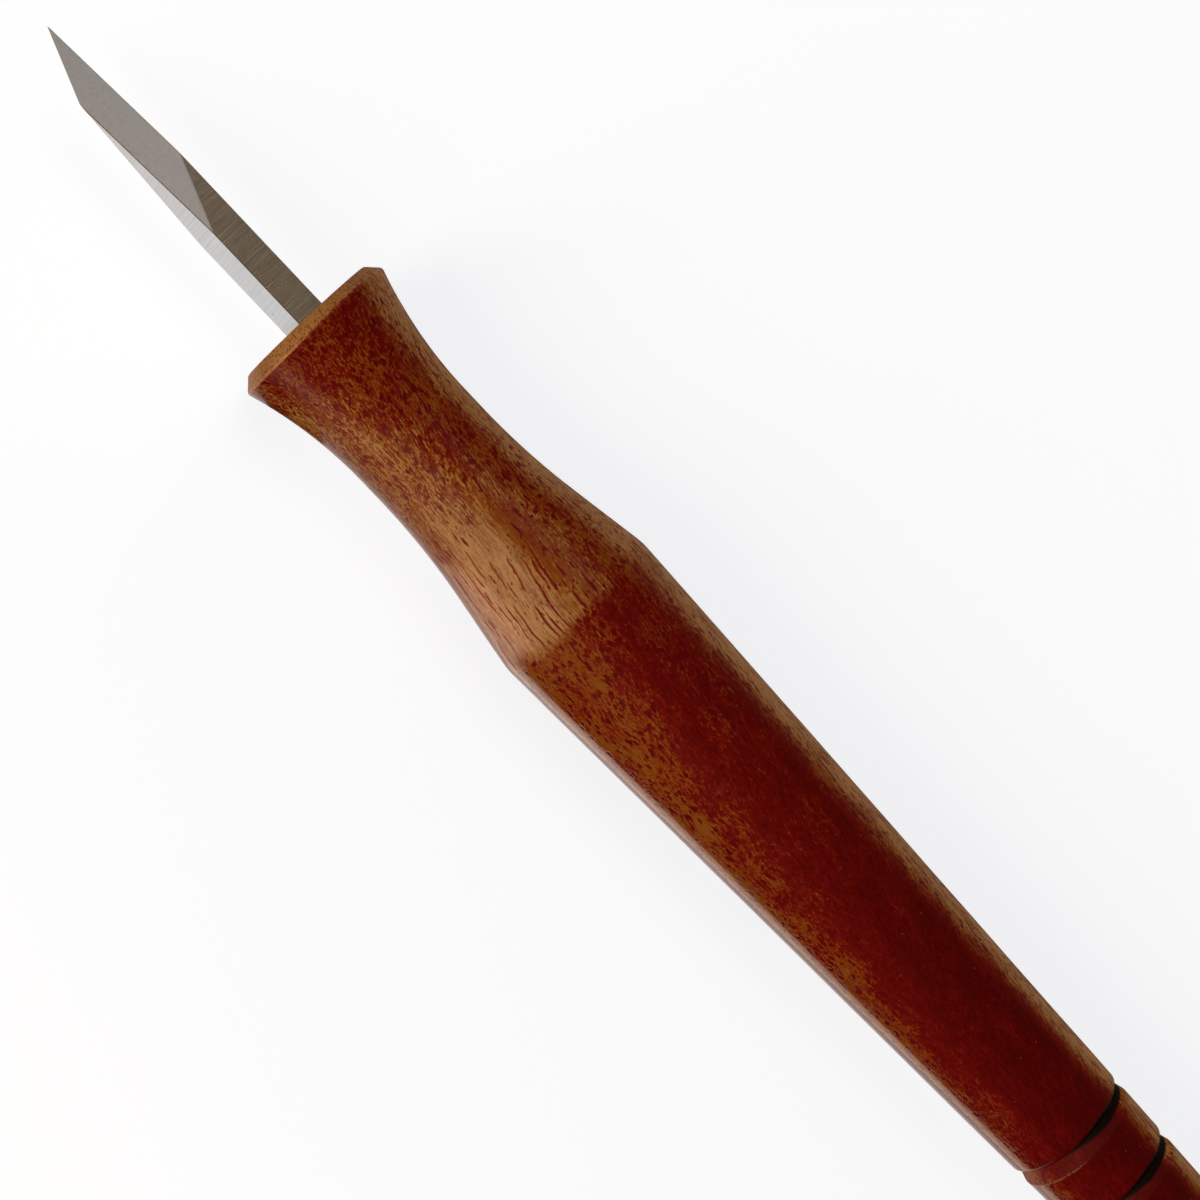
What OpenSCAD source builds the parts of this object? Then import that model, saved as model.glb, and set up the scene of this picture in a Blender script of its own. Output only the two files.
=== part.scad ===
// Marking knife: a turned hardwood handle with a square steel bar glued into its nose.
// The bar is ground to a skewed edge with the same bevel on both faces.
// The knife lies along X, blade to the left (-X) and butt to the right (+X).
// The flats of the blade are level, and the widest ring of the handle touches z = 0.

/* [Handle] */
// Length of the turned handle
handle_len = 124; // [110:1:150]
// Diameter of the rim round the nose
nose_d = 16.6; // [14.5:0.1:19]
// Chamfer from the front face to the rim, at 45 degrees
nose_chamfer = 1.2; // [0.5:0.1:2.5]
// Diameter of the waist, the thinnest place of the neck
waist_d = 12.5; // [10:0.1:14]
// Length of the hollow from the rim to the waist
front_cove_len = 12.8; // [8:0.1:18]
// Length of the straight waist
waist_len = 2.2; // [0.5:0.1:6]
// Length from the waist to the shoulder
rear_cove_len = 19; // [14:0.5:26]
// How round the rear hollow is, from nearly a cone to nearly one arc
rear_cove_curve = 1.4; // [1.1:0.1:1.9]
// Diameter at the shoulder, where neck and body meet
shoulder_d = 16.9; // [15:0.1:20]
// Radius that softens the shoulder
shoulder_round = 4; // [1:0.5:12]
// Diameter to which the body tapers at the butt
butt_d = 11.4; // [9:0.1:14]
// Radius round the edge of the butt
butt_round = 2.5; // [1:0.1:4]

/* [Grooves] */
// Distance from the butt to the deepest line of the rear groove
tail_len = 14.7; // [8:0.1:22]
// Distance from one groove to the next
groove_pitch = 6.7; // [4:0.1:12]
// Number of turned grooves
groove_count = 2; // [1:1:4]
// Length of a groove's steep front wall, along the axis
groove_front = 0.5; // [0.3:0.05:1]
// Length of a groove's gentle rear wall, along the axis
groove_back = 1.4; // [0.6:0.1:2.5]
// Depth of a groove
groove_depth = 0.45; // [0.2:0.05:0.8]
// Radius of a groove's lips
lip_round = 0.3; // [0.1:0.05:0.5]

/* [Blade] */
// Side of the square steel bar
bar_side = 3.175; // [2.5:0.025:4]
// Length of the whole bar, with the tang inside the handle
bar_len = 63.5; // [55:0.5:80]
// Length of the blade outside the handle
blade_out = 34.3; // [30:0.1:45]
// Angle between the cutting edge and the bar
edge_skew = 23.5; // [20:0.5:40]
// Angle of each bevel to the middle of the bar
bevel_angle = 14; // [12:0.5:20]

/* [Bond] */
// Thickness of the glue at the corners of the tang
bond_gap = 0.1; // [0.05:0.05:0.4]
// Glue between the end of the tang and the full width of the hole
end_gap = 0.5; // [0.2:0.1:2]
// Point angle of the drill that made the hole
drill_point = 118; // [90:1:135]

/* [Hidden] */
$fn = 180;

// Overlap of a cutting shape past the face that it cuts
cut_over = 1;
// Shares of its radius by which an arc runs past tangent, so that neighbouring faces cross cleanly
arc_bite = 0.0003;
cove_bite = 0.000005;

// Radii and stations of the handle, measured from its front face
nose_r = nose_d / 2;
face_r = nose_r - nose_chamfer;
waist_r = waist_d / 2;
shoulder_r = shoulder_d / 2;
butt_r = butt_d / 2;
waist_start = nose_chamfer + front_cove_len;
waist_end = waist_start + waist_len;
waist_mid = waist_start + waist_len / 2;
shoulder_at = waist_end + rear_cove_len;
grooves = [for (i = [0:groove_count - 1]) handle_len - tail_len - i * groove_pitch];

// The front hollow is one arc, level at the waist and ending at the rim
front_rise = nose_r - waist_r;
front_cove_r = (pow(front_cove_len, 2) + pow(front_rise, 2)) / (2 * front_rise);

// The rear hollow is an arc, level at the waist, that runs out into a cone up to the shoulder
rear_rise = shoulder_r - waist_r;
cone_slope = rear_cove_curve * atan(rear_rise / rear_cove_len);
arc_len = (rear_cove_len * tan(cone_slope) - rear_rise) / (tan(cone_slope) - tan(cone_slope / 2));
rear_cove_r = arc_len / sin(cone_slope);
cone_start = [waist_r + arc_len * tan(cone_slope / 2), waist_end + arc_len];

// Tang, and the hole that takes it with room for glue
tang_len = bar_len - blade_out;
bore_r = bar_side / sqrt(2) + bond_gap;
bore_len = tang_len + end_gap;
bore_tip = bore_len + bore_r / tan(drill_point / 2);

// Corners of the handle's outline, as radius and station
front_corner = [face_r, 0];
rim_corner = [nose_r, nose_chamfer];
shoulder_corner = [shoulder_r, shoulder_at];
butt_corner = [butt_r, handle_len];
butt_centre = [0, handle_len];

// Centre and tangent points of an arc of radius r that rounds corner c between points p and n
function corner_half(p, c, n) = acos(unit(p - c) * unit(n - c)) / 2;
function arc_centre(p, c, n, r) =
    c + unit(unit(p - c) + unit(n - c)) * r * (1 / sin(corner_half(p, c, n)) - arc_bite);
function arc_end(p, c, n, r) = c + unit(p - c) * r / tan(corner_half(p, c, n));
function unit(v) = v / norm(v);

// Radius of the tapering body at a station
function body_r(at) = shoulder_r + (butt_r - shoulder_r) * (at - shoulder_at) / (handle_len - shoulder_at);

// Place of the knife: middle of its length at x = 0, and its widest ring on z = 0
shoulder_top = arc_centre(cone_start, shoulder_corner, butt_corner, shoulder_round).x + shoulder_round;
axis_h = max(nose_r, shoulder_top);
front_x = (blade_out - handle_len) / 2;

// Lays a piece that is built from the front face's centre, with x towards the butt
module lay() {
    translate([front_x, 0, axis_h])
        children();
}

// Turns a half outline, drawn as radius and station, round the handle's axis
module turn() {
    rotate([0, 90, 0])
        rotate_extrude()
            children();
}

// The sliver that is sanded off a corner to leave an arc
module corner_trim(p, c, n, r) {
    centre = arc_centre(p, c, n, r);
    difference() {
        polygon([arc_end(p, c, n, r), 2 * c - centre, arc_end(n, c, p, r)]);
        translate(centre)
            circle(r);
    }
}

// Hollow of the neck: an arc that is level at waist_at, kept between two stations
module cove(waist_at, cove_r, from_at, to_at) {
    intersection() {
        translate([waist_r + cove_r, waist_at])
            circle(cove_r * (1 + cove_bite));
        translate([0, from_at])
            square([cove_r, to_at - from_at]);
    }
}

// One turned groove with softened lips, deepest at the station given
module groove(at) {
    front_lip = [body_r(at - groove_front), at - groove_front];
    rear_lip = [body_r(at + groove_back), at + groove_back];
    bottom = [body_r(at) - groove_depth, at];
    polygon([front_lip, bottom, rear_lip, [body_r(at) + cut_over, at]]);
    corner_trim(shoulder_corner, front_lip, bottom, lip_round);
    corner_trim(butt_corner, rear_lip, bottom, lip_round);
}

// Half outline of the drilled hole, carried out of the front face by mouth
module bore_outline(mouth) {
    polygon([[0, -mouth], [bore_r, -mouth], [bore_r, bore_len], [0, bore_tip]]);
}

module handle_outline() {
    difference() {
        polygon([
            [0, 0], front_corner, rim_corner,
            [waist_r, waist_start], [waist_r, waist_end],
            cone_start, shoulder_corner, butt_corner, butt_centre
        ]);
        cove(waist_start, front_cove_r, 0, waist_mid);
        cove(waist_end, rear_cove_r, waist_mid, shoulder_at);
        corner_trim(cone_start, shoulder_corner, butt_corner, shoulder_round);
        corner_trim(shoulder_corner, butt_corner, butt_centre, butt_round);
        for (at = grooves)
            groove(at);
        bore_outline(cut_over);
    }
}

module bar() {
    translate([-blade_out, -bar_side / 2, -bar_side / 2])
        cube([bar_len, bar_side, bar_side]);
}

// Steel ground away above the bevel that rises from the skewed edge
module bevel_cut() {
    translate([-blade_out, bar_side / 2, 0])
        rotate([0, 0, -edge_skew])
            rotate([bevel_angle, 0, 0])
                translate([-bar_len, -bar_len, 0])
                    cube([2 * bar_len, 2 * bar_len, bar_len]);
}

module handle() {
    color([0.34, 0.09, 0.05])
        lay()
            turn()
                handle_outline();
}

module blade() {
    color([0.62, 0.59, 0.54])
        lay()
            difference() {
                bar();
                bevel_cut();
                mirror([0, 0, 1])
                    bevel_cut();
            }
}

module glue_bed() {
    color([0.85, 0.74, 0.48])
        lay()
            difference() {
                turn()
                    bore_outline(0);
                bar();
            }
}

handle();
blade();
glue_bed();
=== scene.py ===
# %% [markdown]
# # A marking knife
# A marking knife scores the line that a saw or a chisel then follows. This one is three pieces: a turned hardwood
# handle, a square bar of tool steel ground to a skewed edge, and the glue that holds the inner half of the bar in
# a drilled hole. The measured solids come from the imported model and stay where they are. The lesson gives each of
# them its finish: a surface with softer edges in the same place, and a material made of nodes alone.

# %% Load the measured solids
import math

import bmesh
import bpy
from mathutils import Euler, Matrix, Vector


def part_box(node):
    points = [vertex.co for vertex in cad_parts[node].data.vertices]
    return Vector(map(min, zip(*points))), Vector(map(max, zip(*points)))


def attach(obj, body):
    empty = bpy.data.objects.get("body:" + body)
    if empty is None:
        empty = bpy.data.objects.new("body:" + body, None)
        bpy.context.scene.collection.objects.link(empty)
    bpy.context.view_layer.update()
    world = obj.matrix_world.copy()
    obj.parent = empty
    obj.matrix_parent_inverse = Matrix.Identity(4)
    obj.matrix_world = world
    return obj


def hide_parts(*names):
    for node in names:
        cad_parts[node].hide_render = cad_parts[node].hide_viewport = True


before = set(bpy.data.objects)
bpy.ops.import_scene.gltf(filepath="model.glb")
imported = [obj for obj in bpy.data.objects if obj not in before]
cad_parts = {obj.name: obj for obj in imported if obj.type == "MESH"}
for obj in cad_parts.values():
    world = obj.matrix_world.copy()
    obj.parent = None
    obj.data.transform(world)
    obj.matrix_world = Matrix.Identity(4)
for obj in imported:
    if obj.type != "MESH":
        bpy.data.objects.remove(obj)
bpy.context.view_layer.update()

MM = 0.001
handle_low, handle_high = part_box("handle")
FRONT = Vector((handle_low.x, 0, (handle_low.z + handle_high.z) / 2))  # centre of the handle's front face
print("handle from x =", round(FRONT.x / MM, 2), "mm, its axis", round(FRONT.z / MM, 3), "mm above the floor")

# %% [markdown]
# ## One function for nodes
# Every material and the lathe below are node trees. Adding a node by hand takes four steps: make it, choose its
# mode, fill in its values and pull the links. One small function does the four in that order, so each line of the
# lesson reads as one node. The modes come first, because some nodes change their sockets with the mode.

# %% Node and colour helpers
def add(tree, kind, sockets=None, **modes):
    """Adds one node. Each socket, by name or number, gets a value or a link from another node's output."""
    node = tree.nodes.new(kind)
    for name, choice in modes.items():
        setattr(node, name, choice)
    for name, value in (sockets or {}).items():
        if isinstance(value, bpy.types.NodeSocket):
            tree.links.new(value, node.inputs[name])
        else:
            node.inputs[name].default_value = value
    return node


def linear(code):
    """Turns a colour code, as it is read off a screen, into the linear values that a shader works with."""
    parts = [int(code[i:i + 2], 16) / 255 for i in (1, 3, 5)]
    return [p / 12.92 if p <= 0.04045 else ((p + 0.055) / 1.055) ** 2.4 for p in parts] + [1]


def empty_material(name):
    made = bpy.data.materials.new(name)
    made.use_nodes = True
    made.node_tree.nodes.clear()
    return made, made.node_tree


print("the middle grey of a screen is", round(linear("#808080")[0], 3), "in a shader")

# %% [markdown]
# ## The wood
# The handle was turned from a board of dark red hardwood with a paler, orange side. A picture could be wrapped
# round it, but real grain goes right through the wood: a cut across it shows the end of the same fibres. So the
# colours are made in the space of the board, in millimetres. A Mapping node turns the knife's own place into that
# space: first number along the axis from the front face, second across the board, third through it. The first one
# is called the station.

# %% Board coordinates
BOARD_TURN = Euler((math.radians(-30), 0, 0))

# Mahogany, turned, sanded and lacquered: deep red with dark open pores under a soft, golden shine.
wood, tree = empty_material("lacquered_mahogany")
place = add(tree, "ShaderNodeTexCoord").outputs["Object"]
board = add(tree, "ShaderNodeMapping", {
    "Vector": place,
    "Location": -(BOARD_TURN.to_matrix() @ FRONT) / MM,
    "Rotation": BOARD_TURN,
    "Scale": (1 / MM,) * 3,
}).outputs[0]
station, across, through = add(tree, "ShaderNodeSeparateXYZ", {0: board}).outputs
print("the board lies turned by", round(math.degrees(BOARD_TURN.x)), "degrees round the axis")

# %% [markdown]
# The dark heart of the board covers most of the handle. Its lower edge wanders: it climbs over the neck, which is cut
# deeper, and drops back just behind the shoulder. The paler wood over the neck is partly the board's own colour and
# partly a painted sheen, the golden shine that the back slope of the neck catches from the key lamp, which is why it
# ends sharply at the shoulder. A noise could bend it, but not to order, so a Float Curve draws the edge as height
# over station. The curve's range is 0 to 1, so both numbers are scaled on the way in and out. The height above the
# edge, divided by the width of its soft border, is the depth in the heart.

# %% Edge of the dark heart
HANDLE_LEN = (handle_high.x - handle_low.x) / MM
HEART_REACH = 8  # millimetres to each side of the axis
# The rise over the neck and the sharp drop at the shoulder are partly the wood's colour and partly a painted sheen.
HEART_EDGE = [  # station and height, in millimetres
    (0, 8), (1, 8), (1.6, -7), (3, -6.5), (6, -4.2), (10, -1.8), (15, -0.3), (20, 1), (25, 2), (33, 2.8), (34.8, 2.4),
    (36, -2.2), (42, -2.8), (50, -3.8), (60, -4.8), (70, -5), (90, -5.3), (124, -5.2),
]
SOFT_BORDER = {"From Min": 40, "From Max": 85, "To Min": 4, "To Max": 2}  # station to width, in millimetres

along = add(tree, "ShaderNodeMath", {0: station, 1: HANDLE_LEN}, operation="DIVIDE").outputs[0]
edge_curve = add(tree, "ShaderNodeFloatCurve", {"Value": along})
line = edge_curve.mapping.curves[0]
for number, (at, height) in enumerate(HEART_EDGE):
    in_range = (at / HANDLE_LEN, 0.5 + height / (2 * HEART_REACH))
    point = line.points[number] if number < 2 else line.points.new(*in_range)  # a new curve has two points
    point.location = in_range
    point.handle_type = "AUTO_CLAMPED"
edge_curve.mapping.update()
edge = add(tree, "ShaderNodeMapRange", {
    "Value": edge_curve.outputs[0], "To Min": -HEART_REACH, "To Max": HEART_REACH,
}).outputs[0]
above = add(tree, "ShaderNodeMath", {0: across, 1: edge}, operation="SUBTRACT").outputs[0]
border = add(tree, "ShaderNodeMapRange", {"Value": station, **SOFT_BORDER}).outputs[0]
depth = add(tree, "ShaderNodeMath", {0: above, 1: border}, operation="DIVIDE").outputs[0]
print("heart edge drawn through", len(line.points), "points")

# %% [markdown]
# Some places have tones of their own: the neck, the pale wood on it, its back slope, which is painted paler as a
# sheen where it catches the key lamp, and the end grain of the chamfer. Vertex colours could mark such zones, but
# they are only as fine as the mesh. Here each zone is a number from 0 to 1 that a Map Range node makes from the
# station or from the depth in the heart. Two zones multiplied give the place where both hold.

# %% Zones of the handle
NECK_TO, BODY_FROM = 35, 36
SLOPE_FROM, SLOPE_FULL = 18, 24
END_GRAIN_TO, FLANK_FROM = 0.9, 1.5
PALE_FROM, PALE_FULL = 0.5, -0.3  # depths in the heart

neck = add(tree, "ShaderNodeMapRange", {"Value": station, "From Min": BODY_FROM, "From Max": NECK_TO}).outputs[0]
in_pale = add(tree, "ShaderNodeMapRange", {
    "Value": depth, "From Min": PALE_FROM, "From Max": PALE_FULL,
}).outputs[0]
pale_neck = add(tree, "ShaderNodeMath", {0: in_pale, 1: neck}, operation="MULTIPLY").outputs[0]
slope = add(tree, "ShaderNodeMapRange", {
    "Value": station, "From Min": SLOPE_FROM, "From Max": SLOPE_FULL,
}).outputs[0]
on_slope = add(tree, "ShaderNodeMath", {0: slope, 1: pale_neck}, operation="MULTIPLY").outputs[0]
end_grain = add(tree, "ShaderNodeMapRange", {
    "Value": station, "From Min": FLANK_FROM, "From Max": END_GRAIN_TO,
}).outputs[0]
print("zones: end grain to", END_GRAIN_TO, "mm, back slope from", SLOPE_FROM, "mm, neck to", NECK_TO, "mm")

# %% [markdown]
# The darkness of the wood is one number that grows with the depth in the heart, between two limits. The palest one is
# lower on the end grain, on the neck, partly as a painted sheen, and on the back slope, where a painted sheen
# lightens it further. The deepest one rises towards the butt. A Clamp node would leave a visible line at each limit,
# so Smooth Maximum and Smooth Minimum hold the number instead.

# %% Darkness of the heart
EDGE_TONE, TONE_PER_DEPTH, SOFT_LIMIT = 0.34, 0.3, 0.1
# The paler neck is partly the wood's colour and partly a painted sheen.
PALEST, END_GRAIN_PALER, NECK_PALER = 0.26, -0.2, -0.06
# Painted sheen: the back slope of the neck is painted paler where it catches the key lamp.
SLOPE_SHEEN = {"From Min": -6, "From Max": -3.5, "To Min": 0, "To Max": -0.14}  # height across the board to tone
NECK_DEEPEST = {"From Min": 3, "From Max": 22, "To Min": 0.47, "To Max": 0.29}  # station to tone
BODY_DEEPEST = {"From Min": 35, "From Max": 100, "To Min": 0.52, "To Max": 0.95}

slope_sheen = add(tree, "ShaderNodeMapRange", {"Value": across, **SLOPE_SHEEN}).outputs[0]
palest = PALEST
for zone, change in ((end_grain, END_GRAIN_PALER), (neck, NECK_PALER), (on_slope, slope_sheen)):
    palest = add(tree, "ShaderNodeMath", {0: zone, 1: change, 2: palest}, operation="MULTIPLY_ADD").outputs[0]
neck_deepest = add(tree, "ShaderNodeMapRange", {"Value": station, **NECK_DEEPEST}).outputs[0]
body_deepest = add(tree, "ShaderNodeMapRange", {"Value": station, **BODY_DEEPEST}).outputs[0]
deepest = add(tree, "ShaderNodeMapRange", {
    "Value": neck, "To Min": body_deepest, "To Max": neck_deepest,
}).outputs[0]
heart = add(tree, "ShaderNodeMath", {
    0: depth, 1: TONE_PER_DEPTH, 2: EDGE_TONE,
}, operation="MULTIPLY_ADD").outputs[0]
heart = add(tree, "ShaderNodeMath", {0: heart, 1: palest, 2: SOFT_LIMIT}, operation="SMOOTH_MAX").outputs[0]
heart = add(tree, "ShaderNodeMath", {0: heart, 1: deepest, 2: SOFT_LIMIT}, operation="SMOOTH_MIN").outputs[0]
print("darkness of the body from", PALEST, "up to", BODY_DEEPEST["To Max"], "near the butt")

# %% [markdown]
# A pale strip of sapwood runs along the far side. It begins at the same angle all the way down the taper, so it is
# measured by direction: the height across the board divided by the distance from the axis. Close to the axis that
# distance is held at a least value. Without it the strip would be a slice of a pie on the end faces, where a real
# board shows a straight band. Round the shoulder the strip is narrower. A small function gives a soft ring at any
# station, and the painted shade and highlights below need it too.

# %% Sapwood strip
LEAST_DISTANCE = 5.5
SAP_DEGREES = (36, 45, 64)  # up from the board's middle: where it begins, where at the shoulder, where it is full
SHOULDER_RING = (38, 6, 16)  # station, half width and soft border


def ring(at, half, soft, side=1):
    """A band round the handle at one station, half as wide to each side. It narrows to nothing where side is 0."""
    off = add(tree, "ShaderNodeMath", {0: station, 1: at}, operation="SUBTRACT").outputs[0]
    off = add(tree, "ShaderNodeMath", {0: off}, operation="ABSOLUTE").outputs[0]
    lost = add(tree, "ShaderNodeMath", {0: 1, 1: side}, operation="SUBTRACT").outputs[0]
    off = add(tree, "ShaderNodeMath", {0: lost, 1: half + soft, 2: off}, operation="MULTIPLY_ADD").outputs[0]
    return add(tree, "ShaderNodeMapRange", {"Value": off, "From Min": half + soft, "From Max": half}).outputs[0]


sap_from, sap_from_shoulder, sap_full = (math.sin(math.radians(angle)) for angle in SAP_DEGREES)
distance = add(tree, "ShaderNodeVectorMath", {
    0: add(tree, "ShaderNodeCombineXYZ", {"Y": across, "Z": through}).outputs[0],
}, operation="LENGTH").outputs["Value"]
distance = add(tree, "ShaderNodeMath", {0: distance, 1: LEAST_DISTANCE}, operation="MAXIMUM").outputs[0]
sideways = add(tree, "ShaderNodeMath", {0: across, 1: distance}, operation="DIVIDE").outputs[0]
sap_edge = add(tree, "ShaderNodeMapRange", {
    "Value": ring(*SHOULDER_RING), "To Min": sap_from, "To Max": sap_from_shoulder,
}).outputs[0]
sapwood = add(tree, "ShaderNodeMapRange", {
    "Value": sideways, "From Min": sap_edge, "From Max": sap_full,
}, interpolation_type="SMOOTHSTEP").outputs[0]
print("sapwood begins", SAP_DEGREES[0], "degrees up, at the shoulder", SAP_DEGREES[1], "degrees")

# %% [markdown]
# Between heart and pale wood the colour changes in patches, a few millimetres long and drawn out along the fibres.
# The fibres of a board are seldom parallel to the axis. These lean a few degrees to the near side and outwards, so
# the back slope of the neck is cut almost along them. A Mapping node of type Texture turns the board first and
# stretches it after that. The usual type, Point, stretches first, which would leave the fibres straight. A slow
# noise makes them waver. Patches, mottle, streaks and flecks are then four noises, each of its own size, that are
# added to the heart's darkness by an amount for the body, the neck and the pale slope. The flecks are as wide as
# real vessels, about 0.15 mm. A lowest value keeps heart and body from turning as pale as sapwood.

# %% Fibres, patches and flecks
FIBRE_LEAN = Euler((0, math.radians(-6.5), math.radians(-7)))
WAVER, WAVER_SIZE = 0.6, 4  # millimetres to each side and between bends
GRAIN = (  # size in millimetres, then the amount on the body, on the neck and on the pale slope
    ((5, 1.8, 1.8), 0.8, 0.65, 0.4),  # patches
    ((0.7, 0.35, 0.35), 0.4, 0.35, 0.2),  # mottle
    ((3, 0.16, 0.16), 0.8, 1.2, 0.6),  # streaks
    ((0.35, 0.14, 0.14), 0.95, 1.15, 0.4),  # flecks
)
SAP_TONE, SAP_CALM = 0.02, 0.85
LOWEST, LOWEST_PALE = 0.18, -0.3

drift = add(tree, "ShaderNodeTexNoise", {"Vector": board, "Scale": 1 / WAVER_SIZE, "Detail": 1}).outputs["Color"]
drift = add(tree, "ShaderNodeVectorMath", {0: drift, 1: (0.5,) * 3}, operation="SUBTRACT").outputs[0]
fibres = add(tree, "ShaderNodeVectorMath", {
    0: drift, 1: (2 * WAVER,) * 3, 2: board,
}, operation="MULTIPLY_ADD").outputs[0]
darkness = add(tree, "ShaderNodeMapRange", {"Value": sapwood, "To Min": heart, "To Max": SAP_TONE}).outputs[0]
calm = add(tree, "ShaderNodeMapRange", {"Value": sapwood, "To Min": 1, "To Max": SAP_CALM}).outputs[0]
for size, on_body, on_neck, on_pale_slope in GRAIN:
    amount = add(tree, "ShaderNodeMapRange", {"Value": neck, "To Min": on_body, "To Max": on_neck}).outputs[0]
    amount = add(tree, "ShaderNodeMapRange", {
        "Value": on_slope, "To Min": amount, "To Max": on_pale_slope,
    }).outputs[0]
    amount = add(tree, "ShaderNodeMath", {0: amount, 1: calm}, operation="MULTIPLY").outputs[0]
    stretched = add(tree, "ShaderNodeMapping", {
        "Vector": fibres, "Rotation": FIBRE_LEAN, "Scale": size,
    }, vector_type="TEXTURE").outputs[0]
    noise = add(tree, "ShaderNodeTexNoise", {"Vector": stretched, "Scale": 1, "Detail": 2}).outputs[0]
    noise = add(tree, "ShaderNodeMath", {0: noise, 1: 0.5}, operation="SUBTRACT").outputs[0]
    darkness = add(tree, "ShaderNodeMath", {0: noise, 1: amount, 2: darkness}, operation="MULTIPLY_ADD").outputs[0]
flecks = noise
lowest = LOWEST
for zone in (pale_neck, sapwood):
    lowest = add(tree, "ShaderNodeMapRange", {"Value": zone, "To Min": lowest, "To Max": LOWEST_PALE}).outputs[0]
plain = add(tree, "ShaderNodeMath", {0: darkness, 1: lowest, 2: SOFT_LIMIT}, operation="SMOOTH_MAX").outputs[0]
print("grain of", len(GRAIN), "noises, the finest", GRAIN[-1][0][1], "mm wide")

# %% [markdown]
# The open pores are dark spots that lie along the fibres: short ones everywhere, about a millimetre long, and long
# lines on the back slope of the neck and on the sapwood, where the cut runs almost along the grain. A Voronoi
# texture scatters one centre to a cell, and its distance, stretched along the fibres, is a spindle. The short
# spindles grow and run together as the wood darkens, and the flecks fray their borders. All are added to the
# darkness as well, and they drive a Bump, because lacquer sinks a little into a pore.

# %% Pores
SHORT_PORE, LONG_PORE = (1.1, 0.5, 0.5), (13, 0.36, 0.36)  # cells, in millimetres
SHORT_REACH = {"From Min": 0.15, "From Max": 0.5, "To Min": 0.36, "To Max": 0.5}  # tone to share of a cell
SHORT_ON_SLOPE, SHORT_IN_END_GRAIN = -0.16, -0.25
LONG_ON_SLOPE = 0.37
LONG_IN_SAP = {"From Min": 0.3, "From Max": 0.8, "To Min": 0, "To Max": 0.3}
SHORT_TONE = {"From Min": 0.4, "From Max": 0.65, "To Min": 0.6, "To Max": 0.12}  # tone to added darkness
LONG_TONE = 0.55
PORE_DEPTH = 0.01 * MM

short_reach = add(tree, "ShaderNodeMapRange", {"Value": plain, **SHORT_REACH}).outputs[0]
for zone, change in ((on_slope, SHORT_ON_SLOPE), (end_grain, SHORT_IN_END_GRAIN)):
    short_reach = add(tree, "ShaderNodeMath", {
        0: zone, 1: change, 2: short_reach,
    }, operation="MULTIPLY_ADD").outputs[0]
slope_reach = add(tree, "ShaderNodeMath", {0: on_slope, 1: LONG_ON_SLOPE}, operation="MULTIPLY").outputs[0]
sap_reach = add(tree, "ShaderNodeMapRange", {"Value": sapwood, **LONG_IN_SAP}).outputs[0]
long_reach = add(tree, "ShaderNodeMath", {0: sap_reach, 1: slope_reach}, operation="MAXIMUM").outputs[0]
spindles = []
for size, reach, fray, soft, faintest in (
    (SHORT_PORE, short_reach, 0.4, 0.12, 0.4), (LONG_PORE, long_reach, 0.2, 0.1, 0.5),
):
    cells = add(tree, "ShaderNodeMapping", {
        "Vector": fibres, "Rotation": FIBRE_LEAN, "Scale": size,
    }, vector_type="TEXTURE").outputs[0]
    cell = add(tree, "ShaderNodeTexVoronoi", {"Vector": cells, "Scale": 1}).outputs
    frayed = add(tree, "ShaderNodeMath", {0: flecks, 1: fray, 2: reach}, operation="MULTIPLY_ADD").outputs[0]
    inside = add(tree, "ShaderNodeMath", {0: frayed, 1: cell["Distance"]}, operation="SUBTRACT").outputs[0]
    chance = add(tree, "ShaderNodeSeparateColor", {0: cell["Color"]}).outputs[0]
    filled = add(tree, "ShaderNodeMapRange", {"Value": chance, "To Min": faintest, "To Max": 1}).outputs[0]
    spindles.append(add(tree, "ShaderNodeMapRange", {
        "Value": inside, "From Max": soft, "To Max": filled,
    }).outputs[0])
short_pores, long_pores = spindles
pore = add(tree, "ShaderNodeMath", {0: short_pores, 1: long_pores}, operation="MAXIMUM").outputs[0]
short_tone = add(tree, "ShaderNodeMapRange", {"Value": plain, **SHORT_TONE}).outputs[0]
darkness = plain
for pores, tone in ((short_pores, short_tone), (long_pores, LONG_TONE)):
    darkness = add(tree, "ShaderNodeMath", {0: pores, 1: tone, 2: darkness}, operation="MULTIPLY_ADD").outputs[0]
sunk = add(tree, "ShaderNodeBump", {"Height": pore, "Distance": PORE_DEPTH}, invert=True).outputs[0]
print("pores: one to a cell of", SHORT_PORE[0], "mm, and lines in cells of", LONG_PORE[0], "mm")

# %% [markdown]
# One ramp turns darkness into colour, from the ochre of the pale wood through red-brown to the maroon of the heart.
# Tiny pale specks lie on top: partly dust that has set in the lacquer and partly painted glints, where the lacquer
# over a pore catches the light. They are the middles of a few cells of a fine Voronoi texture, picked by the cell's
# random colour.

# %% Colours, dust and painted glints
WOOD_COLOURS = [
    (0, "#96683A"), (0.2, "#753E0C"), (0.33, "#742F0A"), (0.45, "#691508"), (0.6, "#600605"), (0.8, "#560304"),
    (1, "#480103"),
]
# Pale pinkish specks: partly dust in the lacquer, partly painted glints.
DUST_AND_GLINT_COLOUR, DUST_STRENGTH, DUST_SPACING = "#9C6A5C", 0.25, 0.9
DUST_SIZE = {"From Min": 0.55, "From Max": 1, "To Min": 0, "To Max": 0.12}  # a cell's chance to share of the cell

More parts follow.
